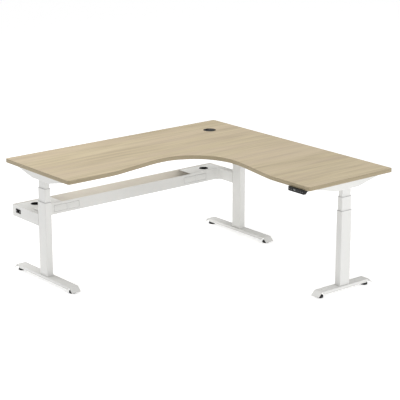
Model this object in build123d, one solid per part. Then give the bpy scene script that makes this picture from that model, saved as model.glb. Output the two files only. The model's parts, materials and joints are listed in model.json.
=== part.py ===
"""Height adjustable corner desk: L-shaped top on three electric three-stage columns.

Millimetres, +Z up. The origin is on the floor under the middle of the top's square outline.
The main wing runs along X at the rear (+Y), the return wing runs along Y on the right (+X).
"""
import math
import os

from build123d import *

# worktop
top_width = 1800.0
top_depth = 1800.0
top_height = 765.0
top_thickness = 25.0
wing_depth = 740.0
waist_depth = 662.0
inner_corner_radius = 324.0
sway_length = 510.0
sway_angle = 11.3
least_front_run = 60.0
corner_radius = 15.0
edge_round = 1.5

# columns: outside length (along the foot) and width of the outer tube, and what the inner ones lose
column_length = 90.0
column_width = 50.0
stage_step = 3.5
tube_wall = 1.8
tube_radius = 7.0
inner_showing = 51.0
middle_showing = 92.0
middle_lift_off = 48.0
inner_lift_off = 48.0
collar_lip = 2.0
collar_depth = 30.0
slide_gap = 0.3

# where the columns stand
end_inset = 27.0
corner_inset = 55.0
rear_setback = 380.0
side_setback = 378.0

# feet
foot_length = 690.0
return_foot_length = 492.0
foot_width = 70.0
foot_top = 44.0
foot_bottom = 22.0
foot_tip_height = 12.0
foot_slope = 34.0
foot_notch = 22.0
foot_wall = 3.0
pad_inset = 46.0
pad_diameter = 48.0
pad_thickness = 16.0
neck_diameter = 22.0
stud_diameter = 10.0
stud_top = 38.0
boss_diameter = 18.0
foot_screw_spread = 62.0
foot_screw_pitch = 28.0

# lifting spindles
base_plate_thickness = 8.0
plate_gap = 0.3
support_outside = 26.0
support_wall = 1.5
base_nut_drop = 40.0
base_nut_length = 24.0
guide_outside = 30.0
guide_wall = 1.5
guide_drop = 33.0
middle_nut_length = 22.0
middle_plate_thickness = 4.0
hollow_outside = 18.0
hollow_bore = 12.8
hollow_lift_off = 20.0
drive_diameter = 12.0
drive_lift_off = 152.0
journal_diameter = 9.0
spindle_gap = 0.08

# brackets under the top
bracket_length = 540.0
bracket_width = 52.0
bracket_depth = 52.0
bracket_end_depth = 12.0
bracket_flat = 200.0
bracket_wall = 2.0
flange_length = 46.0
bracket_screw_inset = 20.0
bracket_screw_pitch = 26.0
access_hole = 12.0

# drive on each column
gearbox_length = 74.0
gearbox_width = 44.0
gearbox_height = 42.0
motor_diameter = 42.0
motor_length = 112.0
motor_neck_diameter = 28.0
motor_gap = 4.0

# rails under the top
rail_width = 25.0
rail_height = 40.0
rail_wall = 2.0
rail_spread = 210.0

# cable beam
beam_drop = 93.0
beam_height = 80.0
beam_depth = 160.0
beam_rear_inset = 25.0
beam_wall = 2.0
beam_inside_radius = 40.0
cover_length = 300.0
cover_recess = 4.0
cover_thickness = 1.5
outlet_diameter = 60.0
outlet_end_distance = 130.0
outlet_flange = 66.0
outlet_hole = 32.0
outlet_sink = 16.0
socket_length = 205.0
socket_height = 46.0
socket_gap = 0.5
left_socket_distance = 328.0
right_socket_distance = 273.0
inlet_length = 56.0
inlet_height = 28.0
inlet_depth = 24.0
inlet_front_distance = 88.0

# cable outlet in the worktop
grommet_inset_x = 231.0
grommet_inset_y = 230.0
grommet_bore = 82.0
grommet_flange = 92.0
grommet_flange_height = 2.0
grommet_opening = 75.0
grommet_ledge = 68.0
grommet_cap_thickness = 6.0
notch_width = 30.0
notch_depth = 18.0

# control box and hand controller
control_length = 240.0
control_depth = 90.0
control_height = 36.0
handset_length = 144.0
handset_height = 27.0
handset_depth = 62.0
handset_face_depth = 18.0
handset_slope = 14.0
handset_tail_height = 12.0
handset_overhang = 12.0
handset_end_distance = 106.0
handset_wall = 2.5
button_size = 11.0
button_gap = 0.4
button_travel = 0.8
button_proud = 1.0
button_pitch = 17.0
display_length = 32.0

# fasteners
screw_shank = 4.5
screw_head = 9.0
screw_head_height = 2.5
screw_gap = 0.1
screw_bite = 16.0
small_screw_bite = 12.0
bolt_shank = 8.0
bolt_head = 13.0
bolt_head_height = 5.0
arm_bolt_shank = 6.0
arm_bolt_head = 10.0

underside = top_height - top_thickness
bracket_floor = underside - bracket_depth

# heights in the columns: rims hang from the brackets, lower ends stand off the feet
middle_top = bracket_floor - inner_showing
outer_top = middle_top - middle_showing
middle_bottom = foot_top + middle_lift_off
inner_bottom = middle_bottom + inner_lift_off
hollow_bottom = middle_bottom + hollow_lift_off
drive_bottom = inner_bottom + drive_lift_off
base_nut_top = outer_top - base_nut_drop
guide_top = middle_top - guide_drop

beam_top = outer_top - beam_drop
beam_bottom = beam_top - beam_height
beam_rear = top_depth / 2 - beam_rear_inset
beam_front = beam_rear - beam_depth

left_leg_x = -top_width / 2 + end_inset + column_width / 2
corner_leg_x = top_width / 2 - corner_inset - column_width / 2
main_leg_y = top_depth / 2 - rear_setback
right_leg_x = top_width / 2 - side_setback
right_leg_y = -top_depth / 2 + end_inset + column_width / 2

legs = {
    "left": Location((left_leg_x, main_leg_y, 0)),
    "corner": Location((corner_leg_x, main_leg_y, 0)),
    "right": Location((right_leg_x, right_leg_y, 0), (0, 0, -90)),
}
# side of each column, in its own frame, that faces the middle of the desk
inward = {"left": 1, "corner": -1, "right": -1}

beam_left = left_leg_x - column_width / 2
beam_right = corner_leg_x + column_width / 2
arm_end = main_leg_y + column_length / 2


def block(x0, x1, y0, y1, z0, z1):
    """A box between two corners."""
    return Pos((x0 + x1) / 2, (y0 + y1) / 2, (z0 + z1) / 2) * Box(x1 - x0, y1 - y0, z1 - z0)


def rod(diameter, z0, z1, x=0.0, y=0.0):
    """An upright round bar."""
    return Pos(x, y, (z0 + z1) / 2) * Cylinder(diameter / 2, z1 - z0)


def pipe(outside, inside, z0, z1, x=0.0, y=0.0):
    """An upright round tube."""
    return rod(outside, z0, z1, x, y) - rod(inside, z0, z1, x, y)


def upright_bar(width, length, radius, z0, z1):
    """An upright bar of rounded rectangular section, its length along Y."""
    return Pos(0, 0, z0) * extrude(RectangleRounded(width, length, radius), z1 - z0)


def stage_size(stage):
    """Outside width, length and corner radius of a column tube: 0 outer, 1 middle, 2 inner."""
    loss = 2 * stage_step * stage
    return column_width - loss, column_length - loss, tube_radius - 1.5 * stage


def stage_tube(stage, z0, z1):
    width, length, radius = stage_size(stage)
    outside = upright_bar(width, length, radius, z0, z1)
    inner_width = width - 2 * tube_wall
    inner_length = length - 2 * tube_wall
    return outside - upright_bar(inner_width, inner_length, radius - tube_wall, z0, z1)


def stage_collar(stage, top):
    """Glide bush in the mouth of a tube: a lip on the rim and a sleeve round the next tube."""
    width, length, radius = stage_size(stage)
    next_width, next_length, next_radius = stage_size(stage + 1)
    lip = upright_bar(width, length, radius, top - collar_lip, top)
    sleeve_width = width - 2 * tube_wall
    sleeve_length = length - 2 * tube_wall
    sleeve = upright_bar(sleeve_width, sleeve_length, radius - tube_wall, top - collar_depth, top)
    way_width = next_width + 2 * slide_gap
    way_length = next_length + 2 * slide_gap
    way = upright_bar(way_width, way_length, next_radius + slide_gap, top - collar_depth, top)
    return lip + sleeve - way


def in_pairs(spread, pitch):
    """Four places in a rectangle: spread along Y, pitch along X."""
    return [(x, y) for x in (-pitch / 2, pitch / 2) for y in (-spread / 2, spread / 2)]


# worktop

def sway(start, heading, first_turn, length):
    """Three edges of one gentle step in the front edge: an arc, a line and the arc back."""
    turn = math.radians(sway_angle)
    step = wing_depth - waist_depth
    spare = math.sin(turn) * math.tan(turn) - (1 - math.cos(turn))
    radius = (length * math.tan(turn) - step) / (2 * spare)
    straight = (length - 2 * radius * math.sin(turn)) / math.cos(turn)
    first = JernArc(start, heading, radius, first_turn * sway_angle)
    middle = Line(first @ 1, first @ 1 + (first % 1) * straight)
    last = JernArc(middle @ 1, middle % 1, radius, -first_turn * sway_angle)
    return [first, middle, last]


def worktop_outline():
    left = -top_width / 2
    right = top_width / 2
    front = -top_depth / 2
    rear = top_depth / 2
    wing_front = rear - wing_depth
    wing_side = right - wing_depth
    corner_start = right - waist_depth - inner_corner_radius
    used = waist_depth + inner_corner_radius + least_front_run
    main_length = min(sway_length, top_width - used)
    return_length = min(sway_length, top_depth - used)
    run_in = Line((left, wing_front), (corner_start - main_length, wing_front))
    first_sway = sway(run_in @ 1, run_in % 1, 1, main_length)
    corner = JernArc(first_sway[2] @ 1, first_sway[2] % 1, inner_corner_radius, -90)
    second_sway = sway(corner @ 1, corner % 1, -1, return_length)
    run_out = Line(second_sway[2] @ 1, (wing_side, front))
    outside = Polyline((wing_side, front), (right, front), (right, rear), (left, rear), (left, wing_front))
    inside = [run_in, *first_sway, corner, *second_sway, run_out]
    face = make_face(Curve() + inside + outside)
    sharp = [v for v in face.vertices() if is_outer_corner(v, left, right, front, rear)]
    return fillet(sharp, corner_radius)


def is_outer_corner(vertex, left, right, front, rear):
    """True for the five corners that lie on the square's sides and turn the outline."""
    on_x = abs(vertex.X - left) < 0.01 or abs(vertex.X - right) < 0.01
    on_y = abs(vertex.Y - front) < 0.01 or abs(vertex.Y - rear) < 0.01
    return on_x or on_y


def grommet_place():
    return top_width / 2 - grommet_inset_x, top_depth / 2 - grommet_inset_y


def bracket_screw_places():
    spread = bracket_length - 2 * bracket_screw_inset
    return in_pairs(spread, bracket_screw_pitch)


def worktop():
    board = Pos(0, 0, underside) * extrude(worktop_outline(), top_thickness)
    rims = board.faces().filter_by(Axis.Z).edges()
    board = fillet(rims, edge_round)
    x, y = grommet_place()
    board -= rod(grommet_bore, underside, top_height, x, y)
    board -= rod(grommet_flange + 2 * slide_gap, top_height - grommet_flange_height, top_height, x, y)
    for place in legs.values():
        for sx, sy in bracket_screw_places():
            board -= place * rod(screw_shank + 2 * screw_gap, underside, underside + screw_bite, sx, sy)
    for x, y in control_screw_places() + handset_screw_places():
        board -= rod(screw_shank + 2 * screw_gap, underside, underside + small_screw_bite, x, y)
    return board


def grommet_ring():
    """Liner of the cable outlet, its flange sunk flush with the board's face."""
    x, y = grommet_place()
    seat = top_height - grommet_flange_height
    ring = rod(grommet_flange, seat, top_height, x, y)
    ring += rod(grommet_bore - 2 * slide_gap, underside + 2, seat, x, y)
    ring -= rod(grommet_opening, top_height - grommet_cap_thickness, top_height, x, y)
    ring -= rod(grommet_ledge, underside, top_height, x, y)
    return ring


def grommet_cap():
    x, y = grommet_place()
    diameter = grommet_opening - 2 * slide_gap
    cap = rod(diameter, top_height - grommet_cap_thickness, top_height, x, y)
    notch_y = y + grommet_opening / 2 - notch_depth
    half = notch_width / 2
    return cap - block(x - half, x + half, notch_y, y + grommet_opening, underside, top_height)


# brackets and rails

def bracket_profile(shrink):
    """Side view of a bracket in the YZ plane; shrink draws the inside of its sheet metal."""
    half = bracket_length / 2 - shrink
    flat = bracket_flat / 2
    end = underside - bracket_end_depth + shrink
    floor = bracket_floor + shrink
    points = [(half, underside), (half, end), (flat, floor), (-flat, floor), (-half, end), (-half, underside)]
    return Plane.YZ * make_face(Polyline(*points, close=True))


def motor_height():
    return bracket_floor + bracket_wall + gearbox_height / 2 + 1


def bracket(side):
    """Sheet-metal channel under the top, with a window for the motor's neck on the inward side."""
    body = extrude(bracket_profile(0), bracket_width / 2, both=True)
    body -= extrude(bracket_profile(bracket_wall), bracket_width / 2 - bracket_wall, both=True)
    inside = bracket_width / 2 - bracket_wall
    for end in (-1, 1):
        tip = end * (bracket_length / 2 - bracket_wall)
        root = tip - end * flange_length
        low, high = sorted((tip, root))
        body += block(-inside, inside, low, high, underside - bracket_wall, underside)
    for x, y in bracket_screw_places():
        body -= rod(screw_shank + 2 * screw_gap, underside - bracket_wall, underside, x, y)
        body -= rod(access_hole, bracket_floor, underside - bracket_wall - 1, x, y)
    body -= rod(guide_outside, bracket_floor, bracket_floor + bracket_wall)
    window = Pos(side * bracket_width / 2, 0, motor_height()) * Rot(0, 90, 0)
    return body - window * Cylinder(motor_neck_diameter / 2 + 1, 4 * bracket_wall)


def inner_tube():
    tube = stage_tube(2, inner_bottom, bracket_floor)
    width, length, radius = stage_size(2)
    cap = upright_bar(width, length, radius, bracket_floor - 5, bracket_floor)
    return tube + cap - rod(guide_outside, bracket_floor - 5, bracket_floor)


def gearbox():
    floor = bracket_floor + bracket_wall
    body = upright_bar(gearbox_width, gearbox_length, 6, floor, floor + gearbox_height)
    body = chamfer(body.faces().sort_by(Axis.Z)[-1].edges(), 1.5)
    body += rod(guide_outside - 2 * slide_gap, bracket_floor - 5, floor)
    return body - rod(journal_diameter + 2 * spindle_gap, bracket_floor - 5, floor + gearbox_height / 2)


def motor(side):
    """Worm motor lying level beside the bracket, its neck through the window to the gearbox."""
    start = gearbox_width / 2
    can_start = bracket_width / 2 + motor_gap
    centre = Pos(0, 0, motor_height()) * Rot(0, side * 90, 0)
    neck = Pos(0, 0, (start + can_start) / 2) * Cylinder(motor_neck_diameter / 2, can_start - start)
    can = chamfer(Cylinder(motor_diameter / 2, motor_length).edges(), 2)
    return centre * (neck + Pos(0, 0, can_start + motor_length / 2) * can)


def rail(length):
    """A rectangular tube along X from the origin, on the underside of the top."""
    outside = block(0, length, -rail_width / 2, rail_width / 2, underside - rail_height, underside)
    half = rail_width / 2 - rail_wall
    return outside - block(0, length, -half, half, underside - rail_height + rail_wall, underside - rail_wall)


def main_rails():
    start = left_leg_x + bracket_width / 2
    length = corner_leg_x - bracket_width / 2 - start
    return [Pos(start, main_leg_y + side * rail_spread / 2, 0) * rail(length) for side in (-1, 1)]


def return_rails():
    start = right_leg_y + bracket_width / 2
    length = main_leg_y - rail_spread / 2 - rail_width / 2 - start
    turned = Rot(0, 0, 90) * rail(length)
    return [Pos(right_leg_x + side * rail_spread / 2, start, 0) * turned for side in (-1, 1)]


# feet and spindles

def foot_length_of(name):
    return return_foot_length if name == "right" else foot_length


def level_places(length):
    return {"a": length / 2 - pad_inset, "b": -(length / 2 - pad_inset)}


def both_ways(points):
    """A half outline given from the middle outwards, closed with its mirror image."""
    return Plane.YZ * make_face(Polyline(*points, *[(-y, z) for y, z in reversed(points)], close=True))


def foot(length):
    """Folded sheet: the ends of the flat slope down, the sides are turned down between them."""
    half = length / 2
    flat = half - foot_slope
    slope = math.atan2(foot_top - foot_tip_height, foot_slope)
    under = foot_top - foot_wall
    under_flat = flat - foot_wall * math.tan(slope / 2)
    under_half = half - foot_wall / math.sin(slope)
    sheet = [(flat, foot_top), (half, foot_tip_height), (under_half, foot_tip_height), (under_flat, under)]
    body = extrude(both_ways(sheet), foot_width / 2, both=True)
    side = [(flat, foot_top), (flat - foot_notch, foot_bottom)]
    for x in (-1, 1):
        wall = extrude(both_ways(side), foot_wall / 2, both=True)
        body += Pos(x * (foot_width - foot_wall) / 2, 0, 0) * wall
    for y in level_places(length).values():
        body += rod(boss_diameter, foot_bottom, foot_top - foot_wall, 0, y)
        body -= rod(stud_diameter + 2 * slide_gap, foot_bottom, stud_top + 1, 0, y)
    for x, y in in_pairs(foot_screw_spread, foot_screw_pitch):
        body -= rod(bolt_shank + 2 * screw_gap, foot_bottom, foot_top, x, y)
    return body


def level_foot(y):
    pad = rod(pad_diameter, 0, pad_thickness, 0, y)
    pad = fillet(pad.faces().sort_by(Axis.Z)[-1].edges(), 5)
    pad = chamfer(pad.faces().sort_by(Axis.Z)[0].edges(), 1)
    neck = rod(neck_diameter, pad_thickness, foot_bottom - 2, 0, y)
    return pad + neck + rod(stud_diameter, pad_thickness, stud_top, 0, y)


def screw_support():
    """Plate in the bottom of the column, with the tube that carries the fixed nut."""
    width, length, radius = stage_size(0)
    trim = 2 * (tube_wall + plate_gap)
    plate_top = foot_top + base_plate_thickness
    plate = upright_bar(width - trim, length - trim, radius - tube_wall, foot_top, plate_top)
    inside = support_outside - 2 * support_wall
    tube = pipe(support_outside, inside, plate_top, base_nut_top - base_nut_length)
    for x, y in in_pairs(foot_screw_spread, foot_screw_pitch):
        plate -= rod(bolt_shank + 2 * screw_gap, foot_top, plate_top, x, y)
    return plate + tube


def base_nut():
    bore = hollow_outside + 2 * spindle_gap
    return pipe(support_outside, bore, base_nut_top - base_nut_length, base_nut_top)


def guide_tube():
    """Plate across the bottom of the middle tube, with the tube that carries the moving nut."""
    width, length, radius = stage_size(1)
    trim = 2 * tube_wall
    plate_top = middle_bottom + middle_plate_thickness
    plate = upright_bar(width - trim, length - trim, radius - tube_wall, middle_bottom, plate_top)
    inside = guide_outside - 2 * guide_wall
    tube = pipe(guide_outside, inside, middle_bottom, guide_top)
    return plate + tube - rod(inside, middle_bottom, plate_top)


def middle_nut():
    return pipe(guide_outside, drive_diameter + 2 * spindle_gap, guide_top, guide_top + middle_nut_length)


def hollow_screw():
    """Threaded tube; its head turns against the underside of the moving nut."""
    head = guide_outside - 2 * guide_wall - 2 * slide_gap
    screw = rod(hollow_outside, hollow_bottom, guide_top - slide_gap)
    screw += rod(head, guide_top - 10, guide_top - slide_gap)
    return screw - rod(hollow_bore, hollow_bottom, guide_top)


def drive_screw():
    """Spindle that hangs from the gearbox and turns the hollow screw."""
    journal_top = bracket_floor + bracket_wall + gearbox_height / 2 - slide_gap
    shoulder = bracket_floor - 5 - slide_gap
    screw = rod(drive_diameter, drive_bottom, shoulder)
    screw = chamfer(screw.faces().sort_by(Axis.Z)[0].edges(), 1)
    return screw + rod(journal_diameter, shoulder, journal_top)


# cable beam

def beam_plan(shrink):
    """Plan of the beam with its two arms; shrink draws the inside of its sheet metal."""
    x0 = beam_left + shrink
    x1 = beam_right - shrink
    arm = column_width - 2 * shrink
    front = beam_front + shrink
    end = arm_end + shrink
    main = Pos((x0 + x1) / 2, (front + beam_rear - shrink) / 2) * Rectangle(x1 - x0, beam_depth - 2 * shrink)
    depth = front - end + 1
    for x in (x0 + arm / 2, x1 - arm / 2):
        main += Pos(x, end + depth / 2) * Rectangle(arm, depth)
    inner = [v for v in main.vertices() if abs(v.Y - front) < 0.01 and x0 + 1 < v.X < x1 - 1]
    return fillet(inner, beam_inside_radius + shrink)


def arm_screw_heights():
    return [beam_bottom + beam_height * share for share in (0.3, 0.7)]


def socket_centres():
    middle = (beam_top + beam_bottom) / 2
    return [(beam_left + left_socket_distance, middle), (beam_right - right_socket_distance, middle)]


def inlet_centre():
    return beam_front + inlet_front_distance, beam_bottom + beam_height * 0.56


def beam_front_wall():
    """Front wall between the two rounded corners, with its two socket cut-outs."""
    clear = column_width + beam_inside_radius
    x0 = beam_left + clear
    x1 = beam_right - clear
    wall = block(x0, x1, beam_front, beam_front + beam_wall, beam_bottom + beam_wall, beam_top)
    half = socket_length / 2
    tall = socket_height / 2
    for x, z in socket_centres():
        wall -= block(x - half, x + half, beam_front, beam_front + beam_wall, z - tall, z + tall)
    return wall


def beam_end_wall(outer):
    """Outer wall of the trough's end and its arm; the left one holds the power inlet."""
    x0, x1 = sorted((outer, outer + beam_wall if outer < 0 else outer - beam_wall))
    wall = block(x0, x1, arm_end, beam_rear - beam_wall, beam_bottom + beam_wall, beam_top)
    if outer > 0:
        return wall
    y, z = inlet_centre()
    half = inlet_length / 2 - 2
    tall = inlet_height / 2 - 2
    return wall - block(x0, x1, y - half, y + half, z - tall, z + tall)


def beam_corner(inner, side):
    """Rounded inside corner between an arm and the trough; side points to the middle."""
    x = inner + side * beam_inside_radius
    y = beam_front - beam_inside_radius
    turn = 90 if side > 0 else 0
    floor_top = beam_bottom + beam_wall
    square = block(*sorted((inner, x)), y, beam_front, beam_bottom, floor_top)
    gusset = square - rod(2 * beam_inside_radius, beam_bottom, floor_top, x, y)
    ring = pipe(2 * (beam_inside_radius + beam_wall), 2 * beam_inside_radius, floor_top, beam_top, x, y)
    reach = beam_inside_radius + beam_wall
    quarter = Pos(x, y, 0) * Rot(0, 0, turn) * block(0, reach, 0, reach, floor_top, beam_top)
    return gusset + (ring & quarter)


def beam_arm(outer, side):
    """Floor, inner wall and bolted end plate of the arm that reaches back to a column."""
    inner = outer + side * column_width
    floor_top = beam_bottom + beam_wall
    floor = block(*sorted((outer, inner)), arm_end, beam_front, beam_bottom, floor_top)
    wall_x = sorted((inner, inner - side * beam_wall))
    wall = block(*wall_x, arm_end, beam_front - beam_inside_radius, floor_top, beam_top)
    plate_x = sorted((outer + side * beam_wall, inner - side * beam_wall))
    plate = block(*plate_x, arm_end, arm_end + beam_wall, floor_top, beam_top)
    for z in arm_screw_heights():
        hole = Pos((outer + inner) / 2, arm_end + beam_wall / 2, z) * Rot(90, 0, 0)
        plate -= hole * Cylinder(arm_bolt_shank / 2 + screw_gap, beam_wall)
    return [floor, wall, plate]


def cable_beam():
    """Welded sheet-metal trough, open at the top, with arms back to the two main columns."""
    floor_top = beam_bottom + beam_wall
    floor = block(beam_left, beam_right, beam_front, beam_rear, beam_bottom, floor_top)
    rear_wall = block(beam_left, beam_right, beam_rear - beam_wall, beam_rear, floor_top, beam_top)
    sheets = [floor, rear_wall, beam_front_wall()]
    for outer, side in ((beam_left, 1), (beam_right, -1)):
        sheets.append(beam_end_wall(outer))
        sheets.append(beam_corner(outer + side * column_width, side))
        sheets += beam_arm(outer, side)
    return sheets


def outlet_places():
    y = beam_front + (beam_depth - 2 * beam_wall) / 2
    return [(beam_left + outlet_end_distance, y), (beam_right - outlet_end_distance, y)]


def end_cover(side):
    """Lid over one end of the trough and its arm, set a little below the rim."""
    clear = beam_wall + socket_gap
    top = beam_top - cover_recess
    plan = beam_plan(clear)
    lid = Pos(0, 0, top - cover_thickness) * extrude(plan, cover_thickness)
    x0 = beam_left if side < 0 else beam_right - cover_length
    lid &= block(x0, x0 + cover_length, arm_end, beam_rear, top - cover_thickness, top)
    for x, y in outlet_places():
        lid -= rod(outlet_diameter, top - cover_thickness, top, x, y)
    return lid


def outlet_ring(x, y):
    """Black liner: a flange on the lid and a sunk cup with a hole for cables."""
    top = beam_top - cover_recess
    bottom = top - outlet_sink
    ring = rod(outlet_flange, top, top + 2, x, y)
    ring += rod(outlet_diameter - 2 * slide_gap, bottom, top, x, y)
    ring -= rod(outlet_diameter - 6, bottom + 2, top + 2, x, y)
    return ring - rod(outlet_hole, bottom, top, x, y)


def socket_cover(x, z):
    half = socket_length / 2 - socket_gap
    tall = socket_height / 2 - socket_gap
    face = block(x - half, x + half, beam_front + 0.5, beam_front + beam_wall, z - tall, z + tall)
    lip = 6
    back = beam_front + beam_wall
    return face + block(x - half - lip, x + half + lip, back, back + 1.5, z - tall - lip, z + tall + lip)


def power_inlet():
    """Appliance inlet: a bezel on the beam's end, a body behind it and three pins in a recess."""
    y, z = inlet_centre()
    half = inlet_length / 2
    tall = inlet_height / 2
    out = beam_left - 2
    back = beam_left + inlet_depth
    body = block(out, beam_left, y - half, y + half, z - tall, z + tall)
    trim = 2 + socket_gap
    body += block(beam_left, back, y - half + trim, y + half - trim, z - tall + trim, z + tall - trim)
    body -= block(out, back - 6, y - 12, y + 12, z - 8, z + 8)
    for pin_y, pin_z in ((-7, -3), (0, 3), (7, -3)):
        body += block(back - 14, back - 6, y + pin_y - 1, y + pin_y + 1, z + pin_z - 2, z + pin_z + 2)
    return body


# control box and hand controller

def control_box():
    x0 = -control_length / 2
    y0 = main_leg_y - control_depth / 2
    bottom = underside - control_height
    body = block(x0, -x0, y0, y0 + control_depth, bottom, underside)
    body = fillet(body.edges().filter_by(Axis.Z), 6)
    body = chamfer(body.faces().sort_by(Axis.Z)[0].edges(), 2)
    for x in range(-80, 81, 32):
        body -= block(x - 9, x + 9, y0 - 1, y0 + 10, bottom + 10, bottom + 24)
    for x, y in control_screw_places():
        body -= rod(screw_shank + 2 * screw_gap, bottom, underside, x, y)
        body -= rod(screw_head + 2, bottom, bottom + 8, x, y)
    return body


def control_screw_places():
    return [(side * (control_length / 2 - 14), main_leg_y) for side in (-1, 1)]


def handset_frame():
    """Front face X, middle Y and lower Z of the hand controller."""
    front = top_width / 2 - wing_depth - handset_overhang
    return front, -top_depth / 2 + handset_end_distance, underside - handset_height


def handset_screw_places():
    front, y, _ = handset_frame()
    return [(front + handset_depth - 8, y + side * (handset_length / 2 - 12)) for side in (-1, 1)]


def button_places():
    """Button name to its Y: up and down on one side of the display, the memory keys on the other."""
    _, y, _ = handset_frame()
    first = y + handset_length / 2 - 14
    names = ["up", "down", "", "", "one", "two", "three", "memory"]
    return {name: first - button_pitch * index for index, name in enumerate(names) if name}


def display_place():
    places = button_places()
    return (places["down"] + places["one"]) / 2


def handset_profile(front, low):
    """Side view in the XZ plane: a deep face bar, then a slope up to a thin tail."""
    bar = front + handset_face_depth
    slope_end = bar + handset_slope
    tail = underside - handset_tail_height
    back = front + handset_depth
    lower = [(front, low), (bar, low), (slope_end, tail), (back, tail)]
    points = lower + [(back, underside), (front, underside)]
    return Plane.XZ * make_face(Polyline(*points, close=True))


def handset_housing():
    front, y, low = handset_frame()
    half = handset_length / 2
    body = Pos(0, y, 0) * extrude(handset_profile(front, low), half, both=True)
    ends = body.faces().filter_by(Axis.Y)
    body = fillet([e for e in ends.edges() if e.center().Z < underside - 1], 2.5)
    room = handset_wall
    inside_back = front + handset_face_depth - room
    body -= block(front + room, inside_back, y - half + room, y + half - room, low + room, underside - room)
    middle = low + handset_height / 2
    for place in button_places().values():
        reach = button_size / 2 + button_gap
        body -= block(front, front + room, place - reach, place + reach, middle - reach, middle + reach)
    place = display_place()
    reach = display_length / 2
    body -= block(front, front + room, place - reach, place + reach, middle - 6.5, middle + 6.5)
    for x, sy in handset_screw_places():
        body -= rod(screw_shank + 2 * screw_gap, low, underside, x, sy)
        body -= rod(screw_head + 2, low, underside - 6, x, sy)
    return body


def display_window():
    front, _, low = handset_frame()
    middle = low + handset_height / 2
    place = display_place()
    reach = display_length / 2
    return block(front + 0.4, front + handset_wall, place - reach, place + reach, middle - 6.5, middle + 6.5)


def handset_board():
    front, y, low = handset_frame()
    half = handset_length / 2 - handset_wall - 1
    x0 = front + handset_wall + 4.2
    return block(x0, x0 + 1.6, y - half, y + half, low + handset_wall + 1, underside - handset_wall - 1)


def button(place):
    front, _, low = handset_frame()
    middle = low + handset_height / 2
    half = button_size / 2
    wall_back = front + handset_wall
    start = front - button_proud
    cap = block(start, wall_back + 0.3, place - half, place + half, middle - half, middle + half)
    cap = fillet(cap.edges().filter_by(Axis.X), 2)
    rim = half + 1.5
    return cap + block(wall_back + 0.3, wall_back + 1.8, place - rim, place + rim, middle - rim, middle + rim)


# fasteners

def upward_screw(shank, head, head_height, seat, tip, x, y):
    """A screw driven upwards, with its head under the seat and a cross recess in the head."""
    body = rod(shank, seat, tip, x, y)
    body += rod(head, seat - head_height, seat, x, y)
    deep = head_height * 0.6
    return body - rod(head * 0.4, seat - head_height, seat - head_height + deep, x, y)


def top_screws():
    screws = []
    seat = underside - bracket_wall
    for place in legs.values():
        for x, y in bracket_screw_places():
            tip = underside + screw_bite - 1
            screws.append(place * upward_screw(screw_shank, screw_head, screw_head_height, seat, tip, x, y))
    tip = underside + small_screw_bite - 1
    for x, y in control_screw_places():
        seat = underside - control_height + 8
        screws.append(upward_screw(screw_shank, screw_head, screw_head_height, seat, tip, x, y))
    for x, y in handset_screw_places():
        seat = underside - 6
        screws.append(upward_screw(screw_shank, screw_head, screw_head_height, seat, tip, x, y))
    return screws


def base_screws():
    screws = []
    seat = foot_top - foot_wall
    tip = foot_top + base_plate_thickness
    for place in legs.values():
        for x, y in in_pairs(foot_screw_spread, foot_screw_pitch):
            screws.append(place * upward_screw(bolt_shank, bolt_head, bolt_head_height, seat, tip, x, y))
    for x in (left_leg_x, corner_leg_x):
        for z in arm_screw_heights():
            turned = Pos(x, arm_end + beam_wall, z) * Rot(90, 0, 0)
            bolt = upward_screw(arm_bolt_shank, arm_bolt_head, 3.0, 0, beam_wall + tube_wall, 0, 0)
            screws.append(turned * bolt)
    return screws


# columns and assembly

def outer_tube(name):
    width, length, radius = stage_size(0)
    tube = stage_tube(0, foot_top, outer_top - collar_lip)
    if name != "right":
        for z in arm_screw_heights():
            hole = Pos(0, length / 2 - tube_wall / 2, z) * Rot(90, 0, 0)
            tube -= hole * Cylinder(arm_bolt_shank / 2 + screw_gap, tube_wall + 1)
    return tube


def save(shape, name):
    if isinstance(shape, list):
        shape = Compound(children=shape)
    export_step(shape, f"parts/{name}.step")


def at_each_leg(shape):
    return [place * shape for place in legs.values()]


def main():
    os.makedirs("parts", exist_ok=True)
    save(worktop(), "desktop")
    save(grommet_ring(), "grommet_ring")
    save(grommet_cap(), "grommet_cap")
    save([place * bracket(inward[name]) for name, place in legs.items()], "brackets")
    save(at_each_leg(inner_tube()), "inner_tubes")
    save(at_each_leg(gearbox()), "gearboxes")
    save([place * motor(inward[name]) for name, place in legs.items()], "motors")
    save(main_rails(), "main_rails")
    save(return_rails(), "return_rails")
    save(control_box(), "control_box")
    save(handset_housing(), "handset_housing")
    save(handset_board(), "handset_board")
    save(display_window(), "display_window")
    for name, place in button_places().items():
        save(button(place), f"button_{name}")
    save(top_screws(), "top_screws")

    for name, place in legs.items():
        length = foot_length_of(name)
        save(place * foot(length), f"foot_{name}")
        save(place * outer_tube(name), f"outer_tube_{name}")
        save(place * stage_tube(1, middle_bottom, middle_top - collar_lip), f"middle_tube_{name}")
        save(place * stage_collar(1, middle_top), f"middle_collar_{name}")
        save(place * guide_tube(), f"guide_tube_{name}")
        save(place * middle_nut(), f"middle_nut_{name}")
        save(place * hollow_screw(), f"hollow_screw_{name}")
        save(place * drive_screw(), f"drive_screw_{name}")
        for end, y in level_places(length).items():
            save(place * level_foot(y), f"level_foot_{name}_{end}")
    save(at_each_leg(stage_collar(0, outer_top)), "outer_collars")
    save(at_each_leg(screw_support()), "screw_supports")
    save(at_each_leg(base_nut()), "base_nuts")
    save(base_screws(), "base_screws")

    save(cable_beam(), "cable_beam")
    save([end_cover(-1), end_cover(1)], "end_covers")
    save([outlet_ring(x, y) for x, y in outlet_places()], "outlet_rings")
    save([socket_cover(x, z) for x, z in socket_centres()], "socket_covers")
    save(power_inlet(), "power_inlet")


main()
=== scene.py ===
import json
import math

import bmesh
import bpy
from mathutils import Matrix, Vector


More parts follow.
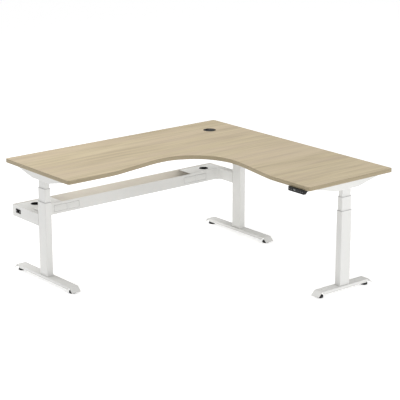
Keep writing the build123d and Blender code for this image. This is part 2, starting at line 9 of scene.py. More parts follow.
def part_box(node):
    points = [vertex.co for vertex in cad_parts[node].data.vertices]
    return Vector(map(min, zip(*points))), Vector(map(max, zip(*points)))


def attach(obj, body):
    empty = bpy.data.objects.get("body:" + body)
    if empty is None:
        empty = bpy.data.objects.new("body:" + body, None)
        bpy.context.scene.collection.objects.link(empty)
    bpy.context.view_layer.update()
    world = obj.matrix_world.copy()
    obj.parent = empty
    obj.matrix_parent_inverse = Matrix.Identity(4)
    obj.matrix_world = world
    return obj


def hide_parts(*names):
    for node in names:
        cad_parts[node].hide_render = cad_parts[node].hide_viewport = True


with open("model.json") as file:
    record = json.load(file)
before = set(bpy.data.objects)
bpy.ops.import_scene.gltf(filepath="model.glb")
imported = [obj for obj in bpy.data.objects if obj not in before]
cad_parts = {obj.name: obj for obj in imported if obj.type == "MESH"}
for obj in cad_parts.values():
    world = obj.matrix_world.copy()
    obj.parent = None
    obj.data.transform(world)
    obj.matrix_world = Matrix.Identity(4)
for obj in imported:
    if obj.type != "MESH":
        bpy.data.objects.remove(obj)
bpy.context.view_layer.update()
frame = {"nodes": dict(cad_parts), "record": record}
nodes = frame["nodes"]
print("frame loaded,", len(nodes), "nodes")

legNames = ("left", "corner", "right")

# the view, the floor and the light

camera = {
    "place": (-5.6892, -6.9733, 3.1239),
    "azimuth": -39.36,
    "down": 16.17,
    "lens": 128.0,
}
studio = {
    "floorSize": 120.0,
    "floorColor": (0.93, 0.93, 0.93),
    "floorGlow": 0.44,
    "worldColor": (1.0, 1.0, 1.0),
    "worldPower": 0.60,
}
lamps = {
    "keyLight": {"place": (1.6, -5.2, 4.4), "aim": (0.0, 0.0, 0.5), "size": 3.4, "power": 36.0},
    "topLight": {"place": (-1.3, 3.1, 4.2), "aim": (-0.5, 0.5, 0.7), "size": 3.0, "power": 96.0},
    "lowLight": {"place": (1.4, -4.6, 1.5), "aim": (0.2, 0.6, 0.45), "size": 2.2, "power": 34.0},
}


def makeCamera():
    data = bpy.data.cameras.new("camera")
    data.lens = camera["lens"]
    data.clip_end = 200.0
    holder = bpy.data.objects.new("camera", data)
    bpy.context.scene.collection.objects.link(holder)
    holder.location = camera["place"]
    holder.rotation_euler = (math.radians(90.0 - camera["down"]), 0.0, math.radians(camera["azimuth"]))
    bpy.context.scene.camera = holder


def makeLamps():
    for name, spec in lamps.items():
        data = bpy.data.lights.new(name, "AREA")
        data.shape = "DISK"
        data.size = spec["size"]
        data.energy = spec["power"]
        lamp = bpy.data.objects.new(name, data)
        lamp.location = spec["place"]
        away = Vector(spec["place"]) - Vector(spec["aim"])
        lamp.rotation_euler = away.to_track_quat("Z", "Y").to_euler()
        bpy.context.scene.collection.objects.link(lamp)
    world = bpy.data.worlds.new("studioWorld")
    world.use_nodes = True
    sky = world.node_tree.nodes["Background"]
    sky.inputs["Color"].default_value = (*studio["worldColor"], 1.0)
    sky.inputs["Strength"].default_value = studio["worldPower"]
    bpy.context.scene.world = world


# shader maths: a Field is one socket, and sums on Fields add Math nodes

class Field:
    def __init__(self, finish, socket):
        self.finish = finish
        self.socket = socket

    def math(self, operation, *others):
        return self.finish.add("ShaderNodeMath", {"operation": operation}, [self, *others])

    def __add__(self, other):
        return self.math("ADD", other)

    __radd__ = __add__

    def __mul__(self, other):
        return self.math("MULTIPLY", other)

    __rmul__ = __mul__

    def __sub__(self, other):
        return self.math("SUBTRACT", other)

    def __rsub__(self, other):
        return self.finish.add("ShaderNodeMath", {"operation": "SUBTRACT"}, [other, self])

    def above(self, other):
        return self.math("GREATER_THAN", other)

    def clamp(self):
        return self.finish.add("ShaderNodeClamp", {}, [self, 0.0, 1.0])


class Finish:
    def __init__(self, name):
        self.material = bpy.data.materials.new(name)
        self.material.use_nodes = True
        self.tree = self.material.node_tree
        self.shader = self.tree.nodes["Principled BSDF"]

    def add(self, kind, settings, values, output=0):
        node = self.tree.nodes.new(kind)
        for key, value in settings.items():
            if key == "stops":
                ramp = node.color_ramp
                while len(ramp.elements) < len(value):
                    ramp.elements.new(1.0)
                for stop, (place, color) in zip(ramp.elements, value):
                    stop.position = place
                    stop.color = (*color, 1.0)
            else:
                setattr(node, key, value)
        pairs = values.items() if isinstance(values, dict) else enumerate(values)
        for key, value in pairs:
            self.feed(node.inputs[key], value)
        return Field(self, node.outputs[output])

    def feed(self, socket, value):
        if isinstance(value, Field):
            self.tree.links.new(value.socket, socket)
        elif socket.type == "RGBA" and len(value) == 3:
            socket.default_value = (*value, 1.0)
        else:
            socket.default_value = value

    def set(self, **values):
        for key, value in values.items():
            self.feed(self.shader.inputs[shaderSockets[key]], value)
        return self

    def place(self, scale=(1.0, 1.0, 1.0), shift=(0.0, 0.0, 0.0)):
        where = self.add("ShaderNodeTexCoord", {}, {}, "Object")
        return self.add("ShaderNodeMapping", {}, {"Vector": where, "Scale": scale, "Location": shift})

    def noise(self, where, scale, detail=4.0, rough=0.5, twist=0.0):
        values = {"Vector": where, "Scale": scale, "Detail": detail, "Roughness": rough, "Distortion": twist}
        return self.add("ShaderNodeTexNoise", {}, values, "Fac")

    def spread(self, value, low, high, fromLow=0.0, fromHigh=1.0):
        values = {"Value": value, "From Min": fromLow, "From Max": fromHigh, "To Min": low, "To Max": high}
        return self.add("ShaderNodeMapRange", {}, values, "Result")

    def blend(self, share, first, second):
        return self.add("ShaderNodeMix", {"data_type": "RGBA"}, {0: share, 6: first, 7: second}, 2)

    def bump(self, height, depth, strength=1.0):
        values = {"Height": height, "Distance": depth, "Strength": strength}
        return self.add("ShaderNodeBump", {}, values, "Normal")

    def normalPart(self, axis):
        normal = self.add("ShaderNodeNewGeometry", {}, {}, "Normal")
        return self.add("ShaderNodeSeparateXYZ", {}, [normal], axis)


shaderSockets = {
    "color": "Base Color",
    "rough": "Roughness",
    "metal": "Metallic",
    "normal": "Normal",
    "specular": "Specular IOR Level",
    "glow": "Emission Color",
    "glowPower": "Emission Strength",
}


def tint(color, amount):
    return tuple(min(1.0, part * amount) for part in color)


# oak decor: long soft streaks along X, fine pores, a little drift between yellow and pink

oak = {
    "light": (0.690, 0.582, 0.385),
    "mid": (0.610, 0.506, 0.326),
    "dark": (0.480, 0.386, 0.240),
    "pink": (0.640, 0.514, 0.372),
    "underside": (0.70, 0.68, 0.63),
    "bandLight": (0.375, 0.310, 0.197),
    "bandDark": (0.295, 0.238, 0.146),
    "rough": 0.46,
}


def oakFinish():
    finish = Finish("oakDecor")
    broad = finish.noise(finish.place((0.5, 4.5, 4.5)), 1.0, 2.0, 0.5, 0.5)
    streak = finish.noise(finish.place((1.1, 21.0, 21.0), shift=(3.0, 0.0, 0.0)), 1.0, 6.0, 0.62, 0.5)
    thread = finish.noise(finish.place((2.2, 85.0, 85.0)), 1.0, 4.0, 0.6, 0.2)
    fine = finish.noise(finish.place((6.0, 300.0, 300.0)), 1.0, 3.0, 0.6)
    tone = broad * 0.16 + streak * 0.42 + thread * 0.32 + fine * 0.10
    stops = [(0.41, oak["dark"]), (0.50, oak["mid"]), (0.585, oak["light"])]
    wood = finish.add("ShaderNodeValToRGB", {"stops": stops}, [tone])
    drift = finish.noise(finish.place((0.8, 9.0, 9.0), shift=(0.0, 7.0, 0.0)), 1.0, 3.0, 0.5, 0.4)
    wood = finish.blend(finish.spread(drift, 0.0, 0.42, 0.45, 0.62).clamp(), wood, oak["pink"])
    pores = finish.spread(fine, 0.0, 1.0, 0.58, 0.70).clamp()
    wood = finish.blend(pores * 0.24, wood, tint(oak["dark"], 0.78))
    faceDown = finish.normalPart("Z") * -1.0
    wood = finish.blend(faceDown.above(0.5), wood, oak["underside"])
    relief = finish.bump(fine * 0.6 + thread * 0.4, 0.0004, 0.35)
    rough = finish.spread(streak, oak["rough"] - 0.05, oak["rough"] + 0.08, 0.3, 0.7)
    return finish.set(color=wood, rough=rough, normal=relief, specular=0.42)


def bandFinish():
    finish = Finish("oakEdgeBand")
    grain = finish.noise(finish.place((2.4, 2.4, 130.0)), 1.0, 5.0, 0.6, 0.3)
    fine = finish.noise(finish.place((22.0, 22.0, 520.0)), 1.0, 3.0, 0.6)
    tone = grain * 0.7 + fine * 0.3
    stops = [(0.36, oak["bandDark"]), (0.62, oak["bandLight"])]
    wood = finish.add("ShaderNodeValToRGB", {"stops": stops}, [tone])
    rough = finish.spread(fine, oak["rough"] - 0.04, oak["rough"] + 0.08, 0.3, 0.7)
    return finish.set(color=wood, rough=rough, normal=finish.bump(tone, 0.0003, 0.3))


# powder coat: white with a fine orange-peel skin; the trough version adds painted light inside the trough

coat = {
    "color": (0.715, 0.713, 0.695),
    # painted light: a lighter, warmer colour inside the trough stands in for light and warm bounce from the
    # desk above
    "trough": (0.930, 0.895, 0.835),
    "troughFrom": (-0.872, 0.7165),
    "troughTo": (0.844, 0.8740),
    "rough": 0.42,
    "peel": 0.00006,
}


def coatFinish(name, paintTroughLight=False):
    finish = Finish(name)
    where = finish.place()
    cloud = finish.noise(where, 3.0, 2.0)
    skin = finish.noise(where, 620.0, 2.0, 0.5)
    speck = finish.noise(where, 1900.0, 1.0)
    color = finish.blend(finish.spread(cloud, 0.0, 1.0, 0.3, 0.7), tint(coat["color"], 0.975), coat["color"])
    # painted light: within the trough's plan the coat turns lighter and warmer, standing in for light and
    # warm bounce
    if paintTroughLight:
        inside = 1.0
        for axis in (0, 1):
            along = finish.add("ShaderNodeSeparateXYZ", {}, [where], axis)
            pastStart = along.above(coat["troughFrom"][axis])
            beforeEnd = 1.0 - along.above(coat["troughTo"][axis])
            inside = pastStart * beforeEnd * inside
        color = finish.blend(inside, color, coat["trough"])
    rough = finish.spread(skin, coat["rough"] - 0.05, coat["rough"] + 0.09, 0.3, 0.7)
    relief = finish.bump(skin * 0.7 + speck * 0.3, coat["peel"], 0.5)
    return finish.set(color=color, rough=rough, normal=relief)


# plastics and rubber: one recipe, each with its own colour, gloss and grain

plastics = {
    "greyBush": {"color": (0.42, 0.42, 0.42), "rough": 0.50, "grain": 900.0, "depth": 0.00003},
    "blackPlastic": {
        "color": (0.011, 0.0105, 0.010), "rough": 0.52, "grain": 1400.0, "depth": 0.00005, "specular": 0.28,
    },
    "keyPlastic": {"color": (0.020, 0.020, 0.022), "rough": 0.55, "grain": 1800.0, "depth": 0.00003},
    "padRubber": {"color": (0.014, 0.014, 0.014), "rough": 0.72, "grain": 700.0, "depth": 0.00008},
    "nutPlastic": {"color": (0.78, 0.76, 0.68), "rough": 0.40, "grain": 900.0, "depth": 0.00002},
    "displayGlass": {"color": (0.010, 0.010, 0.012), "rough": 0.08, "grain": 300.0, "depth": 0.00001},
    "circuitBoard": {"color": (0.020, 0.150, 0.060), "rough": 0.32, "grain": 500.0, "depth": 0.00005},
    "motorPaint": {"color": (0.030, 0.030, 0.033), "rough": 0.36, "grain": 500.0, "depth": 0.00004},
    "blackBristle": {"color": (0.022, 0.021, 0.020), "rough": 0.62, "grain": 2600.0, "depth": 0.00002},
    "markInk": {"color": (0.30, 0.30, 0.29), "rough": 0.55, "grain": 2200.0, "depth": 0.00001},
    "litDigit": {"color": (0.60, 0.62, 0.58), "rough": 0.40, "grain": 900.0, "depth": 0.00001},
}


def plasticFinish(name):
    spec = plastics[name]
    finish = Finish(name)
    where = finish.place()
    grain = finish.noise(where, spec["grain"], 2.0, 0.6)
    cloud = finish.noise(where, 24.0, 3.0)
    mottle = finish.spread(cloud, 0.0, 1.0, 0.3, 0.7)
    color = finish.blend(mottle, tint(spec["color"], 0.88), tint(spec["color"], 1.12))
    rough = finish.spread(grain, spec["rough"] - 0.06, spec["rough"] + 0.08, 0.3, 0.7)
    relief = finish.bump(grain, spec["depth"], 0.6)
    return finish.set(color=color, rough=rough, normal=relief, specular=spec.get("specular", 0.5))


metals = {
    "bareSteel": {"color": (0.56, 0.57, 0.58), "rough": 0.30, "stretch": (900.0, 900.0, 30.0)},
    "castAlloy": {"color": (0.60, 0.61, 0.62), "rough": 0.46, "stretch": (420.0, 420.0, 420.0)},
    "brassPin": {"color": (0.78, 0.60, 0.30), "rough": 0.25, "stretch": (60.0, 900.0, 900.0)},
}


def metalFinish(name):
    spec = metals[name]
    finish = Finish(name)
    brush = finish.noise(finish.place(spec["stretch"]), 1.0, 3.0, 0.6)
    cloud = finish.noise(finish.place(), 18.0, 3.0)
    color = finish.blend(cloud, tint(spec["color"], 0.86), tint(spec["color"], 1.08))
    rough = finish.spread(brush, spec["rough"] - 0.07, spec["rough"] + 0.12, 0.3, 0.7)
    return finish.set(color=color, rough=rough, metal=1.0, normal=finish.bump(brush, 0.00003, 0.5))


finishes = {
    "oakDecor": oakFinish(),
    "oakEdgeBand": bandFinish(),
    "whiteCoat": coatFinish("whitePowderCoat"),
    "paintedLightCoat": coatFinish("troughPowderCoat", paintTroughLight=True),
}
finishes.update({name: plasticFinish(name) for name in plastics})
finishes.update({name: metalFinish(name) for name in metals})

slotFinish = {
    "oak_board": "oakDecor",
    "white_coat": "whiteCoat",
    "grey_bush": "greyBush",
    "pad_rubber": "padRubber",
    "key_plastic": "keyPlastic",
    "black_plastic": "blackPlastic",
    "display_glass": "displayGlass",
    "circuit_board": "circuitBoard",
    "nut_plastic": "nutPlastic",
    "cast_alloy": "castAlloy",
    "motor_black": "motorPaint",
    "bare_steel": "bareSteel",
}


record = frame["record"]
nodeSlot = {entry["node"]: entry["material_slot"] for entry in record["subparts"]}
nodeBody = {node: body for body, members in record["behaviour"]["bodies"].items() for node in members}


def paintFrame():
    for node, slot in nodeSlot.items():
        piece = nodes[node]
        piece.data.materials.clear()
        piece.data.materials.append(finishes[slotFinish[slot]].material)


# building blocks for the pieces

def middleOf(node):
    low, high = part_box(node)
    return (Vector(low) + Vector(high)) / 2


def addBlock(shape, low, high):
    verts = bmesh.ops.create_cube(shape, size=1.0)["verts"]
    low, high = Vector(low), Vector(high)
    bmesh.ops.scale(shape, vec=high - low, verts=verts)
    bmesh.ops.translate(shape, vec=(low + high) / 2, verts=verts)
    return verts


def edgesAlong(verts, axis):
    # the edges of these vertices that run along one axis: 0, 1 or 2
    found = {edge for vert in verts for edge in vert.link_edges}
    return [edge for edge in found if abs((edge.verts[0].co - edge.verts[1].co).normalized()[axis]) > 0.99]


def roundEdges(shape, edges, radius, segments=3):
    settings = {"affect": "EDGES", "segments": segments, "profile": 0.5, "material": -1}
    return bmesh.ops.bevel(shape, geom=list(edges), offset=radius, offset_type="OFFSET", **settings)


def addPlate(shape, low, high, corner, axis, segments=5):
    # a block whose four edges along one axis are rounded
    verts = addBlock(shape, low, high)
    return roundEdges(shape, edgesAlong(verts, axis), corner, segments)


def addRod(shape, start, end, radius, endRadius=None, sides=24):
    start, end = Vector(start), Vector(end)
    along = end - start
    turn = along.to_track_quat("Z", "Y").to_matrix().to_4x4()
    place = Matrix.Translation((start + end) / 2) @ turn
    far = radius if endRadius is None else endRadius
    sizes = {"radius1": radius, "radius2": far, "depth": along.length}
    return bmesh.ops.create_cone(shape, cap_ends=True, segments=sides, matrix=place, **sizes)["verts"]


def addTurned(shape, profile, centre, along=(0.0, 0.0, 1.0), steps=48, closed=False):
    # profile points are (radius, height) from the centre, spun round the axis
    verts = [shape.verts.new((radius, 0.0, height)) for radius, height in profile]
    edges = [shape.edges.new(pair) for pair in zip(verts, verts[1:])]
    if closed:
        edges.append(shape.edges.new((verts[-1], verts[0])))
    before = set(shape.verts) - set(verts)
    settings = {"angle": math.tau, "steps": steps, "use_merge": True, "use_duplicate": False}
    bmesh.ops.spin(shape, geom=verts + edges, cent=(0, 0, 0), axis=(0, 0, 1), dvec=(0, 0, 0), **settings)
    made = [vert for vert in shape.verts if vert not in before]
    turn = Vector(along).to_track_quat("Z", "Y").to_matrix().to_4x4()
    bmesh.ops.transform(shape, matrix=Matrix.Translation(centre) @ turn, verts=made)
    return made


def finishPiece(shape, name, body, finish, replaced=(), sharp=32.0):
    bmesh.ops.remove_doubles(shape, verts=shape.verts, dist=1e-6)
    bmesh.ops.recalc_face_normals(shape, faces=shape.faces)
    mesh = bpy.data.meshes.new(name)
    shape.to_mesh(mesh)
    shape.free()
    mesh.materials.append(finishes[finish].material)
    mesh.shade_smooth()
    mesh.set_sharp_from_angle(angle=math.radians(sharp))
    piece = bpy.data.objects.new(name, mesh)
    bpy.context.scene.collection.objects.link(piece)
    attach(piece, body)
    if replaced:
        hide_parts(*replaced)
    return piece


# softened copies: a part's own shape with its folded or moulded edges rounded

softened = {
    "foot_left": {"name": "footShell_left", "radius": 0.0012, "least": 0.012},
    "foot_corner": {"name": "footShell_corner", "radius": 0.0012, "least": 0.012},
    "foot_right": {"name": "footShell_right", "radius": 0.0012, "least": 0.012},
    "brackets": {"name": "bracketShells", "radius": 0.0014, "least": 0.020},
    "end_covers": {"name": "beamLids", "radius": 0.0005, "least": 0.020},
    "main_rails": {"name": "mainRailTubes", "radius": 0.0016, "least": 0.030},
    "return_rails": {"name": "returnRailTubes", "radius": 0.0016, "least": 0.030},
    "control_box": {"name": "controlCase", "radius": 0.0012, "least": 0.008},
    "handset_housing": {"name": "handsetShell", "radius": 0.0007, "least": 0.006},
    "grommet_cap": {"name": "grommetLid", "radius": 0.0007, "least": 0.0},
    "power_inlet": {"name": "inletBody", "radius": 0.0006, "least": 0.003},
}


def softenNode(node, name, radius, least):
    shape = bmesh.new()
    shape.from_mesh(nodes[node].data)
    bmesh.ops.remove_doubles(shape, verts=shape.verts, dist=2e-6)
    bmesh.ops.dissolve_limit(shape, angle_limit=math.radians(1.0), verts=shape.verts, edges=shape.edges)
    fold = math.radians(28.0)
    edges = [edge for edge in shape.edges if edge.is_manifold and edge.calc_face_angle(0.0) > fold]
    roundEdges(shape, [edge for edge in edges if edge.calc_length() > least], radius, 3)
    slot = nodeSlot[node]
    return finishPiece(shape, name, nodeBody[node], slotFinish[slot], [node])


# edge band: a thin skin on the board's rim, made from the rim's own faces

edgeBand = {"proud": 0.0004, "thickness": 0.0006, "holeTop": 0.757, "rimTop": 0.742, "grommetClear": 0.055}


def makeEdgeBand():
    shape = bmesh.new()
    shape.from_mesh(nodes["desktop"].data)
    bmesh.ops.remove_doubles(shape, verts=shape.verts, dist=1e-6)
    shape.normal_update()
    hub = middleOf("grommet_ring").xy
    unwanted = []
    for face in shape.faces:
        top = max(vert.co.z for vert in face.verts)
        inScrewHole = edgeBand["rimTop"] < top < edgeBand["holeTop"]
        inGrommet = (face.calc_center_median().xy - hub).length < edgeBand["grommetClear"]
        if abs(face.normal.z) > 0.985 or inScrewHole or inGrommet:
            unwanted.append(face)
    bmesh.ops.delete(shape, geom=unwanted, context="FACES")
    shape.normal_update()
    for vert in shape.verts:
        vert.co += vert.normal * edgeBand["proud"]
    bmesh.ops.solidify(shape, geom=shape.faces, thickness=edgeBand["thickness"])
    finishPiece(shape, "edgeBand", "top", "oakEdgeBand")


# levelling feet: a ribbed rubber pad, a steel nut and a stud

levelFoot = {
    "pad": [
        (0.0, 0.0012), (0.0185, 0.0012), (0.0200, 0.0), (0.0232, 0.0), (0.0240, 0.0008), (0.0240, 0.0030),
        (0.0234, 0.0036), (0.0234, 0.0046), (0.0240, 0.0052), (0.0240, 0.0108), (0.0236, 0.0128),
        (0.0224, 0.0146), (0.0206, 0.0157), (0.0190, 0.0160), (0.0, 0.0160),
    ],
    "nutRadius": 0.0108,
    "nutEdge": 0.0006,
    "nutBottom": 0.0158,
    "nutTop": 0.0192,
    "collarRadius": 0.0105,
    "collarTop": 0.0200,
    "collarEdge": 0.0004,
    "studRadius": 0.0048,
    "studTop": 0.0375,
    "threadPitch": 0.0015,
    "threadDepth": 0.0006,
}


def makeLevelFeet():
    for node in [name for name in nodes if name.startswith("level_foot_")]:
        tail = node.removeprefix("level_foot_")
        middle = middleOf(node)
        hub = Vector((middle.x, middle.y, 0.0))
        shape = bmesh.new()
        addTurned(shape, levelFoot["pad"], hub, steps=56)
        finishPiece(shape, "levelPad_" + tail, nodeBody[node], "padRubber", [node])
        shape = bmesh.new()
        bottom = hub + Vector((0.0, 0.0, levelFoot["nutBottom"]))
        top = hub + Vector((0.0, 0.0, levelFoot["nutTop"]))
        nut = addRod(shape, bottom, top, levelFoot["nutRadius"], sides=6)
        roundEdges(shape, {edge for vert in nut for edge in vert.link_edges}, levelFoot["nutEdge"], 2)
        addTurned(shape, collarProfile(), hub, steps=32)
        addTurned(shape, studProfile(), hub, steps=24)
        finishPiece(shape, "levelStud_" + tail, nodeBody[node], "bareSteel")


def collarProfile():
    radius, top, foot = levelFoot["collarRadius"], levelFoot["collarTop"], levelFoot["nutTop"]
    edge = levelFoot["collarEdge"]
    return [(0.0, foot), (radius, foot), (radius, top - edge), (radius - edge, top), (0.0, top)]


def studProfile():
    radius, pitch = levelFoot["studRadius"], levelFoot["threadPitch"]
    height = levelFoot["nutTop"]
    points = [(0.0, height)]
    while height < levelFoot["studTop"]:
        points.append((radius, height))
        points.append((radius - levelFoot["threadDepth"], height + pitch / 2))
        height += pitch
    return points + [(0.0, height)]


# grey rings where the columns stand on the feet: painted shade for the shadow line at the joint

jointShadeRing = {"proud": 0.0005, "height": 0.0012, "corner": 0.0074}


def makeJointShadeRings():
    for leg in legNames:
        low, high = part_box("outer_tube_" + leg)
        out = jointShadeRing["proud"]
        lowCorner = (low[0] - out, low[1] - out, low[2])
        highCorner = (high[0] + out, high[1] + out, low[2] + jointShadeRing["height"])
        shape = bmesh.new()
        addPlate(shape, lowCorner, highCorner, jointShadeRing["corner"], 2, 6)
        # painted shade: a grey ring standing in for the shadow line at the column's foot
        finishPiece(shape, "baseSeal_" + leg, "base", "greyBush")


# cable outlet in the top: turned ring, and bristles across the notch

grommet = {
    "rim": 0.046,
    "bore": 0.0407,
    "opening": 0.0375,
    "ledge": 0.034,
    "ledgeDepth": 0.006,
    "flange": 0.002,
    "lip": 0.0010,
    "notchWidth": 0.030,
    "notchDepth": 0.0165,
    "brushInset": 0.002,
    "brushDepth": 0.003,
    "bristles": 34,
    "bristleRadius": 0.00035,
    "bristleRoot": 0.0005,
    "bristleGap": 0.0006,
    "bristleDroop": 0.0012,
    "bristleLean": 0.0004,
}


def makeGrommet():
    low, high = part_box("grommet_ring")
    hub = middleOf("grommet_ring")
    face = high[2] - hub.z
    floor = low[2] - hub.z
    outer, bore, opening, ledge = (grommet[key] for key in ("rim", "bore", "opening", "ledge"))
    lip = grommet["lip"]
    crown = face + lip * 0.6
    under = face - grommet["flange"]
    seat = face - grommet["ledgeDepth"]
    profile = [
        (bore, floor), (bore, under), (outer, under), (outer, face), (outer - lip, crown),
        (opening + lip, crown), (opening, face), (opening, seat), (ledge, seat), (ledge, floor),
    ]
    shape = bmesh.new()
    addTurned(shape, profile, hub, steps=96, closed=True)
    finishPiece(shape, "grommetRim", "top", "blackPlastic", ["grommet_ring"])
    shape = bmesh.new()
    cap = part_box("grommet_cap")
    back = cap[1][1] - grommet["brushInset"]
    level = cap[1][2] - grommet["brushDepth"]
    for index in range(grommet["bristles"]):
        share = (index + 0.5) / grommet["bristles"]
        y = back - grommet["notchDepth"] * share
        for side in (-1, 1):
            edge = hub.x + side * (grommet["notchWidth"] / 2 + grommet["bristleRoot"])
            lean = grommet["bristleLean"] * math.sin(index * 2.4 + side)
            tip = (hub.x + side * grommet["bristleGap"], y + lean, level - grommet["bristleDroop"] - lean)
            addRod(shape, (edge, y, level), tip, grommet["bristleRadius"], sides=5)
    finishPiece(shape, "grommetBrush", "grommet_cap", "blackBristle")


# cable beam: one folded sheet, its outline raised into walls, its bends rounded

beam = {
    "armWidth": 0.050,
    "front": 0.715,
    "insideCorner": 0.040,
    "bend": 0.0022,
    "wall": 0.002,
    "cover": (0.205, 0.046),
    "coverEdge": 0.006,
    "inlet": (0.052, 0.024),
}


def wallFaces(shape, axis, level):
    return [face for face in shape.faces if abs(face.calc_center_median()[axis] - level) < 1e-4]


def cutWindow(shape, axis, level, low, high):
    # cuts a rectangular opening in the flat wall that lies at one level of an axis
    for end in (low, high):
        for way in range(3):
            if way == axis:
                continue
            wall = wallFaces(shape, axis, level)
            parts = set(wall)
            for face in wall:
                parts.update(face.edges, face.verts)
            normal = [0.0, 0.0, 0.0]
            normal[way] = 1.0
            bmesh.ops.bisect_plane(shape, geom=list(parts), plane_co=end, plane_no=normal, dist=1e-6)
    middle = (Vector(low) + Vector(high)) / 2
    wall = wallFaces(shape, axis, level)
    window = min(wall, key=lambda face: (face.calc_center_median() - middle).length)
    bmesh.ops.delete(shape, geom=[window], context="FACES_ONLY")


def makeBeam():
    low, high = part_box("cable_beam")
    arm, front = beam["armWidth"], beam["front"]
    plan = [
        (low[0], low[1]), (low[0] + arm, low[1]), (low[0] + arm, front), (high[0] - arm, front),
        (high[0] - arm, low[1]), (high[0], low[1]), (high[0], high[1]), (low[0], high[1]),
    ]
    shape = bmesh.new()
    floor = shape.faces.new([shape.verts.new((x, y, low[2])) for x, y in plan])
    raised = bmesh.ops.extrude_face_region(shape, geom=[floor])["geom"]
    top = [item for item in raised if isinstance(item, bmesh.types.BMVert)]
    bmesh.ops.translate(shape, vec=(0.0, 0.0, high[2] - low[2]), verts=top)
    bmesh.ops.recalc_face_normals(shape, faces=shape.faces)
    inner = [edge for edge in edgesAlong(shape.verts, 2) if abs(edge.verts[0].co.y - front) < 0.001]
    roundEdges(shape, inner, beam["insideCorner"], 10)
    lids = [face for face in shape.faces if face.calc_center_median().z > high[2] - 0.001]
    bmesh.ops.delete(shape, geom=lids, context="FACES_ONLY")
    folds = [edge for edge in shape.edges if edge.is_manifold and edge.calc_face_angle(0.0) > 1.0]
    roundEdges(shape, folds, beam["bend"], 3)
    bmesh.ops.recalc_face_normals(shape, faces=shape.faces)
    coverLow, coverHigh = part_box("socket_covers")
    level = (coverLow[2] + coverHigh[2]) / 2
    wide, tall = beam["cover"]
    inset = wide / 2 + beam["coverEdge"]
    for x in (coverLow[0] + inset, coverHigh[0] - inset):
        corners = [(x + side * wide / 2, front, level + side * tall / 2) for side in (-1, 1)]
        cutWindow(shape, 1, front, *corners)
    inlet = middleOf("power_inlet")
    wide, tall = beam["inlet"]
    corners = [(low[0], inlet.y + side * wide / 2, inlet.z + side * tall / 2) for side in (-1, 1)]
    cutWindow(shape, 0, low[0], *corners)
    bmesh.ops.solidify(shape, geom=shape.faces, thickness=beam["wall"])
    # the trough's coat carries painted light inside the trough
    finishPiece(shape, "beamTrough", "base", "paintedLightCoat", ["cable_beam"])


# cable outlets in the beam's lids: turned cups with a slit rubber disc

outlet = {
    "flange": 0.033,
    "flangeDepth": 0.002,
    "bore": 0.0297,
    "cup": 0.027,
    "cupFloor": 0.002,
    "hole": 0.016,
    "depth": 0.016,
    "flaps": 8,
    "flapLift": 0.004,
    "flapReach": 0.0268,
    "flapTip": 0.0022,
    "flapDroop": 0.0018,
    "flapThickness": 0.0012,
}


def makeOutlets():
    low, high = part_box("outlet_rings")
    y = (low[1] + high[1]) / 2
    rim = high[2]
    lid = rim - outlet["flangeDepth"]
    floor = lid - outlet["depth"]
    inside = floor + outlet["cupFloor"]
    flange, bore, cup, hole = (outlet[key] for key in ("flange", "bore", "cup", "hole"))
    profile = [
        (hole, floor), (bore, floor), (bore, lid), (flange, lid), (flange - 0.0004, lid + 0.0012),
        (flange - 0.0014, rim), (cup + 0.0010, rim), (cup, rim - 0.0010), (cup, inside), (hole, inside),
    ]
    shape = bmesh.new()
    discs = bmesh.new()
    for x in (low[0] + flange, high[0] - flange):
        addTurned(shape, profile, (x, y, 0.0), steps=72, closed=True)
        for flap in range(outlet["flaps"]):
            addFlap(discs, (x, y, floor + outlet["flapLift"]), math.tau * flap / outlet["flaps"])
    finishPiece(shape, "outletCups", "base", "blackPlastic", ["outlet_rings"])
    finishPiece(discs, "outletFlaps", "base", "padRubber")


def addFlap(shape, hub, angle):
    # one wedge of the slit disc, drooping a little towards its tip
    half = math.pi / outlet["flaps"] - 0.03
    reach = outlet["flapReach"]
    points = [(outlet["flapTip"], 0.0, -outlet["flapDroop"])]
    for step in range(5):
        turn = half * (step / 2.0 - 1.0)
        points.append((math.cos(turn) * reach, math.sin(turn) * reach, 0.0))
    verts = [shape.verts.new(point) for point in points]
    face = shape.faces.new(verts)
    extruded = bmesh.ops.extrude_face_region(shape, geom=[face])["geom"]
    top = [item for item in extruded if isinstance(item, bmesh.types.BMVert)]
    bmesh.ops.translate(shape, vec=(0.0, 0.0, outlet["flapThickness"]), verts=top)
    turn = Matrix.Translation(hub) @ Matrix.Rotation(angle, 4, "Z")
    bmesh.ops.transform(shape, matrix=turn, verts=verts + top)


# blank socket covers in the beam's front: a grey plate behind two blank modules, the grey painted shade for
# the shadow gap round and between them

socketCover = {
    "length": 0.2035,
    "height": 0.0445,
    "corner": 0.004,
    "gapShade": (0.0002, 0.0030),
    "module": 0.0995,
    "moduleFace": (-0.0008, 0.0010),
    "moduleCorner": 0.0030,
    "moduleEdge": 0.0004,
    "border": 0.0015,
    "gap": 0.0015,
}


